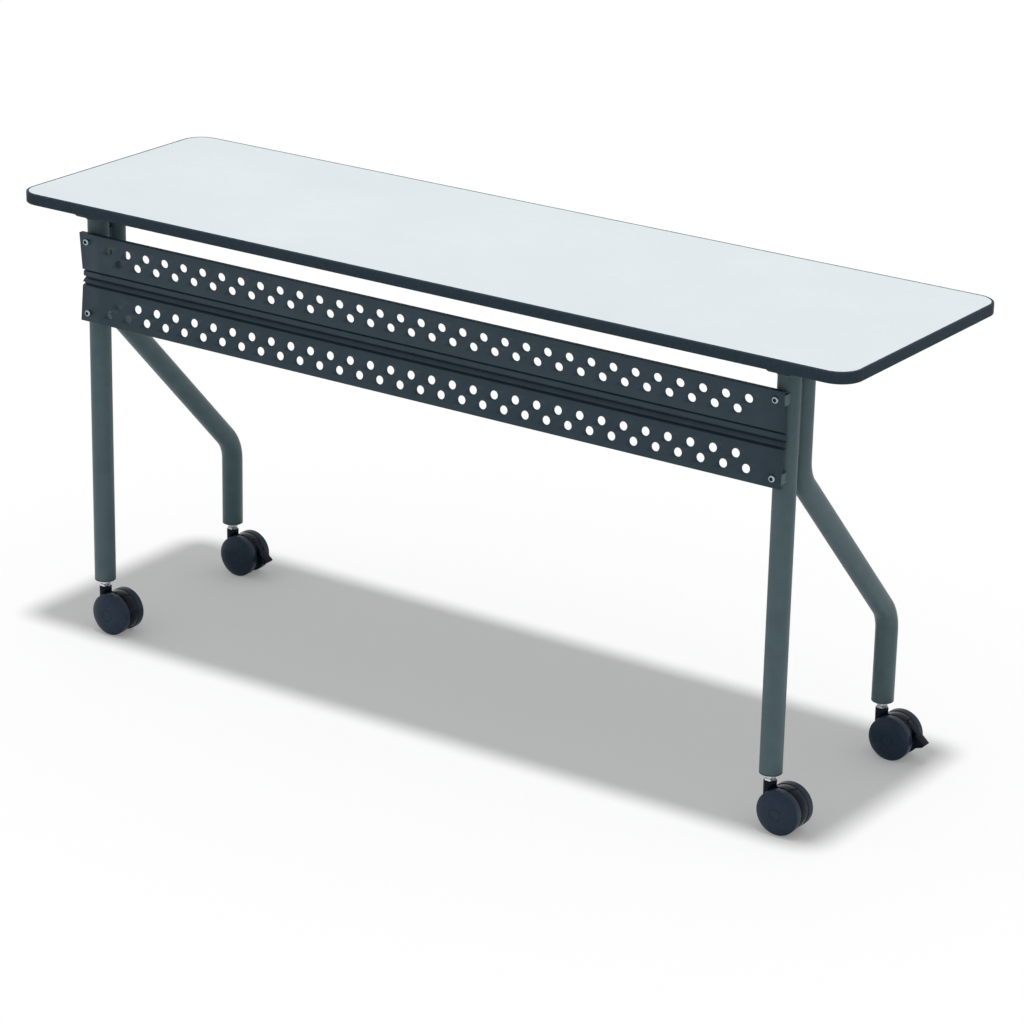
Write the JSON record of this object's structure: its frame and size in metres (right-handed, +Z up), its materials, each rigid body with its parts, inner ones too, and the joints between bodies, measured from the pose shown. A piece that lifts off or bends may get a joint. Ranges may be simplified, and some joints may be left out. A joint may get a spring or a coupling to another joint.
{
  "type": "flip top training table",
  "caption": "Long narrow laminate table whose top tips upright on a latched hinge, on bent tube legs with a perforated modesty panel and twin wheel casters.",
  "frame": {"origin": "on the floor under the middle of the top's footprint", "axes": "+X along the table's length, +Y towards the user's side (the modesty panel faces -Y), +Z up"},
  "size_m": [1.524, 0.4572, 0.7366],
  "materials": {
    "laminate": "pale grey laminate, satin",
    "board": "particle board",
    "backer": "plain backing sheet",
    "edge_band": "soft charcoal moulding",
    "frame_paint": "charcoal powder coat with a metallic grain",
    "panel_paint": "dark charcoal powder coat",
    "black_steel": "black coated steel",
    "zinc": "bright zinc plate",
    "spring_steel": "drawn spring wire",
    "caster_plastic": "black moulded nylon, low gloss",
    "rubber": "matt black rubber"
  },
  "bodies": {
    "base": {"left_front_tube": "frame_paint", "left_rear_tube": "frame_paint", "left_tube_web": "frame_paint", "left_leg_head": "black_steel", "left_pivot_pin": "zinc", "left_rest_pad": "rubber", "left_upper_panel_lug": "frame_paint", "left_upper_panel_screw": "zinc", "left_lower_panel_lug": "frame_paint", "left_lower_panel_screw": "zinc", "right_front_tube": "frame_paint", "right_rear_tube": "frame_paint", "right_tube_web": "frame_paint", "right_leg_head": "black_steel", "right_pivot_pin": "zinc", "right_rest_pad": "rubber", "right_upper_panel_lug": "frame_paint", "right_upper_panel_screw": "zinc", "right_lower_panel_lug": "frame_paint", "right_lower_panel_screw": "zinc", "modesty_panel": "panel_paint", "front_left_tube_insert": "frame_paint", "front_left_caster_stem": "zinc", "front_right_tube_insert": "frame_paint", "front_right_caster_stem": "zinc", "rear_left_tube_insert": "frame_paint", "rear_left_caster_stem": "zinc", "rear_right_tube_insert": "frame_paint", "rear_right_caster_stem": "zinc"},
    "top": {"tabletop_core": "board", "tabletop_laminate": "laminate", "tabletop_backer": "backer", "tabletop_edge_band": "edge_band", "left_flip_rail": "black_steel", "right_flip_rail": "black_steel"},
    "release": {"release_shaft": "zinc", "release_handle": "black_steel", "left_latch_hook": "black_steel", "right_latch_hook": "black_steel", "left_return_spring": "spring_steel", "right_return_spring": "spring_steel"},
    "front_left_caster": {"front_left_caster_hood": "caster_plastic", "front_left_caster_axle": "zinc"},
    "front_left_near_wheel": {"front_left_near_wheel": "caster_plastic"},
    "front_left_far_wheel": {"front_left_far_wheel": "caster_plastic"},
    "front_right_caster": {"front_right_caster_hood": "caster_plastic", "front_right_caster_axle": "zinc"},
    "front_right_near_wheel": {"front_right_near_wheel": "caster_plastic"},
    "front_right_far_wheel": {"front_right_far_wheel": "caster_plastic"},
    "rear_left_caster": {"rear_left_caster_hood": "caster_plastic", "rear_left_caster_axle": "zinc"},
    "rear_left_near_wheel": {"rear_left_near_wheel": "caster_plastic"},
    "rear_left_far_wheel": {"rear_left_far_wheel": "caster_plastic"},
    "rear_left_brake": {"rear_left_brake_pedal": "caster_plastic"},
    "rear_right_caster": {"rear_right_caster_hood": "caster_plastic", "rear_right_caster_axle": "zinc"},
    "rear_right_near_wheel": {"rear_right_near_wheel": "caster_plastic"},
    "rear_right_far_wheel": {"rear_right_far_wheel": "caster_plastic"},
    "rear_right_brake": {"rear_right_brake_pedal": "caster_plastic"}
  },
  "joints": [
    {"name": "top_flip", "type": "hinge", "parent": "base", "child": "top", "pos_m": [0, -0.2026, 0.714], "axis": [1, 0, 0], "range_deg": [0, 90]},
    {"name": "latch_turn", "type": "hinge", "parent": "top", "child": "release", "pos_m": [0, -0.085, 0.707], "axis": [1, 0, 0], "range_deg": [-20, 0], "deforming": ["left_return_spring", "right_return_spring"]},
    {"name": "front_left_swivel", "type": "hinge", "parent": "base", "child": "front_left_caster", "pos_m": [-0.6375, -0.175, 0.06], "axis": [0, 0, 1], "continuous": true},
    {"name": "front_left_near_roll", "type": "hinge", "parent": "front_left_caster", "child": "front_left_near_wheel", "pos_m": [-0.611, -0.175, 0.035], "axis": [0, 1, 0], "continuous": true},
    {"name": "front_left_far_roll", "type": "hinge", "parent": "front_left_caster", "child": "front_left_far_wheel", "pos_m": [-0.611, -0.175, 0.035], "axis": [0, 1, 0], "continuous": true},
    {"name": "front_right_swivel", "type": "hinge", "parent": "base", "child": "front_right_caster", "pos_m": [0.6375, -0.175, 0.06], "axis": [0, 0, 1], "continuous": true},
    {"name": "front_right_near_roll", "type": "hinge", "parent": "front_right_caster", "child": "front_right_near_wheel", "pos_m": [0.664, -0.175, 0.035], "axis": [0, 1, 0], "continuous": true},
    {"name": "front_right_far_roll", "type": "hinge", "parent": "front_right_caster", "child": "front_right_far_wheel", "pos_m": [0.664, -0.175, 0.035], "axis": [0, 1, 0], "continuous": true},
    {"name": "rear_left_swivel", "type": "hinge", "parent": "base", "child": "rear_left_caster", "pos_m": [-0.6375, 0.16, 0.06], "axis": [0, 0, 1], "continuous": true},
    {"name": "rear_left_near_roll", "type": "hinge", "parent": "rear_left_caster", "child": "rear_left_near_wheel", "pos_m": [-0.611, 0.16, 0.035], "axis": [0, 1, 0], "continuous": true},
    {"name": "rear_left_far_roll", "type": "hinge", "parent": "rear_left_caster", "child": "rear_left_far_wheel", "pos_m": [-0.611, 0.16, 0.035], "axis": [0, 1, 0], "continuous": true},
    {"name": "rear_left_brake_press", "type": "hinge", "parent": "rear_left_caster", "child": "rear_left_brake", "pos_m": [-0.59024, 0.16, 0.05974], "axis": [0, 1, 0], "range_deg": [0, 12]},
    {"name": "rear_right_swivel", "type": "hinge", "parent": "base", "child": "rear_right_caster", "pos_m": [0.6375, 0.16, 0.06], "axis": [0, 0, 1], "continuous": true},
    {"name": "rear_right_near_roll", "type": "hinge", "parent": "rear_right_caster", "child": "rear_right_near_wheel", "pos_m": [0.664, 0.16, 0.035], "axis": [0, 1, 0], "continuous": true},
    {"name": "rear_right_far_roll", "type": "hinge", "parent": "rear_right_caster", "child": "rear_right_far_wheel", "pos_m": [0.664, 0.16, 0.035], "axis": [0, 1, 0], "continuous": true},
    {"name": "rear_right_brake_press", "type": "hinge", "parent": "rear_right_caster", "child": "rear_right_brake", "pos_m": [0.68476, 0.16, 0.05974], "axis": [0, 1, 0], "range_deg": [0, 12]}
  ]
}
